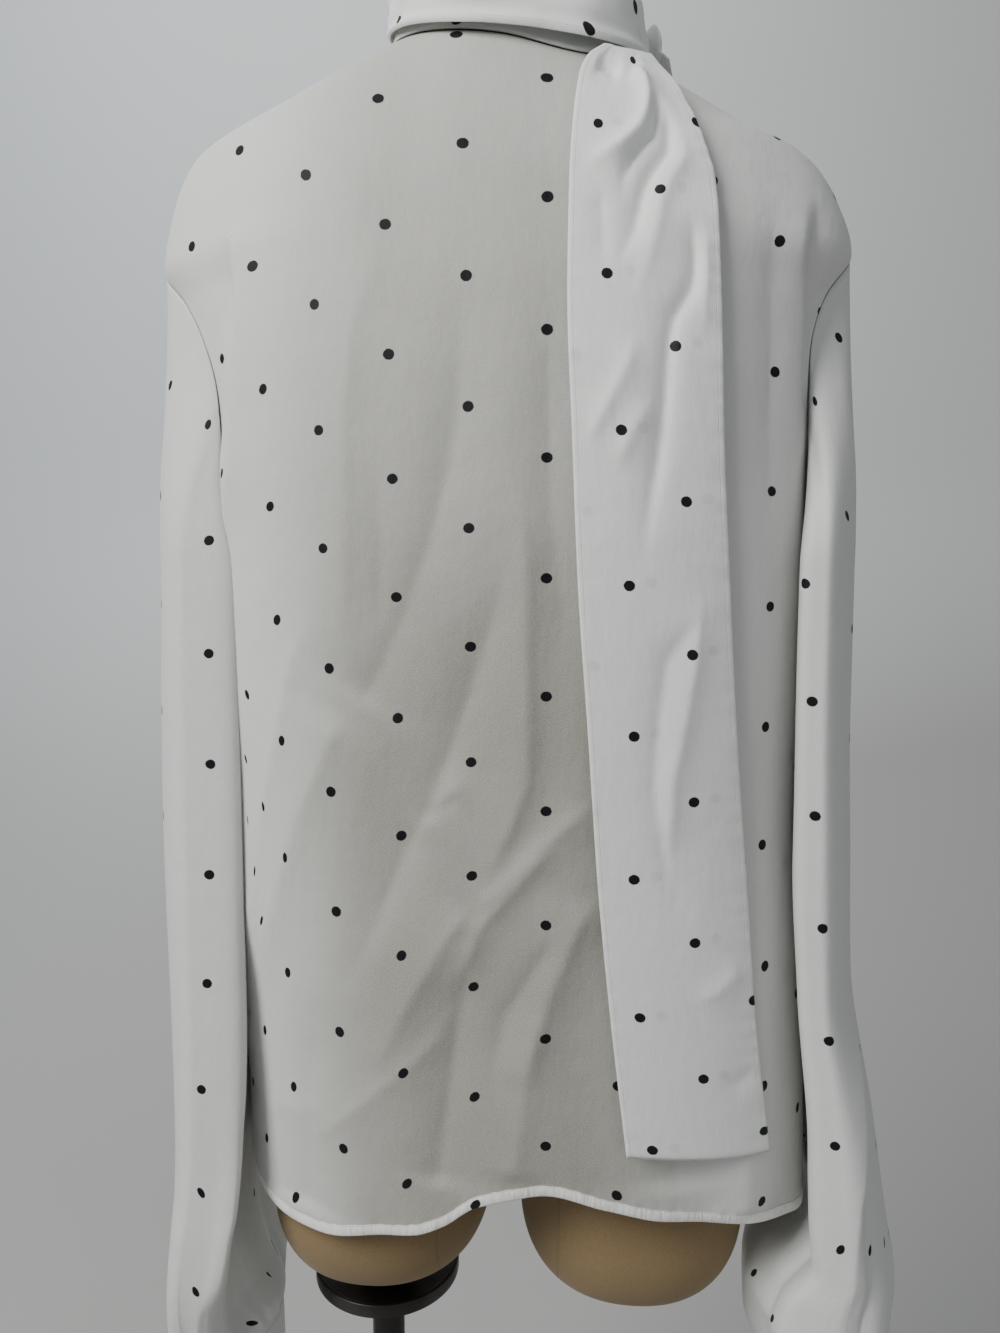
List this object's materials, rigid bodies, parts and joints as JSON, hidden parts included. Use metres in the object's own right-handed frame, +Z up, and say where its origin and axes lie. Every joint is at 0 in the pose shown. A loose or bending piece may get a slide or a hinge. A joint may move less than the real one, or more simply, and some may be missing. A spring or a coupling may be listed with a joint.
{
  "type": "blouse on dress form",
  "caption": "Long-sleeved tie-neck blouse in dotted crepe, worn by a limbless dress form on a pole with a round base.",
  "frame": {"origin": "on the floor under the middle of the dress form", "axes": "+Z up, -Y the front of the blouse, +Y its back, +X the wearer's left"},
  "size_m": [0.506, 0.336, 1.467],
  "materials": {
    "dotted_crepe": "thin off-white crepe with small black dots, soft sheen",
    "tie_crepe": "the same crepe doubled and cut crosswise",
    "form_cover": "matt tan cover over a padded form",
    "stand_metal": "black, satin"
  },
  "bodies": {
    "root": {"back_panel": "dotted_crepe", "front_panel": "dotted_crepe", "left_sleeve": "dotted_crepe", "right_sleeve": "dotted_crepe", "left_cuff": "dotted_crepe", "right_cuff": "dotted_crepe", "neck_band": "dotted_crepe", "neck_wrap": "tie_crepe", "tie_back_tail": "tie_crepe", "tie_front_tail": "tie_crepe", "tie_knot": "tie_crepe", "form_torso": "form_cover", "stand_flange": "stand_metal", "stand_base": "stand_metal", "stand_pole": "stand_metal"}
  },
  "joints": []
}
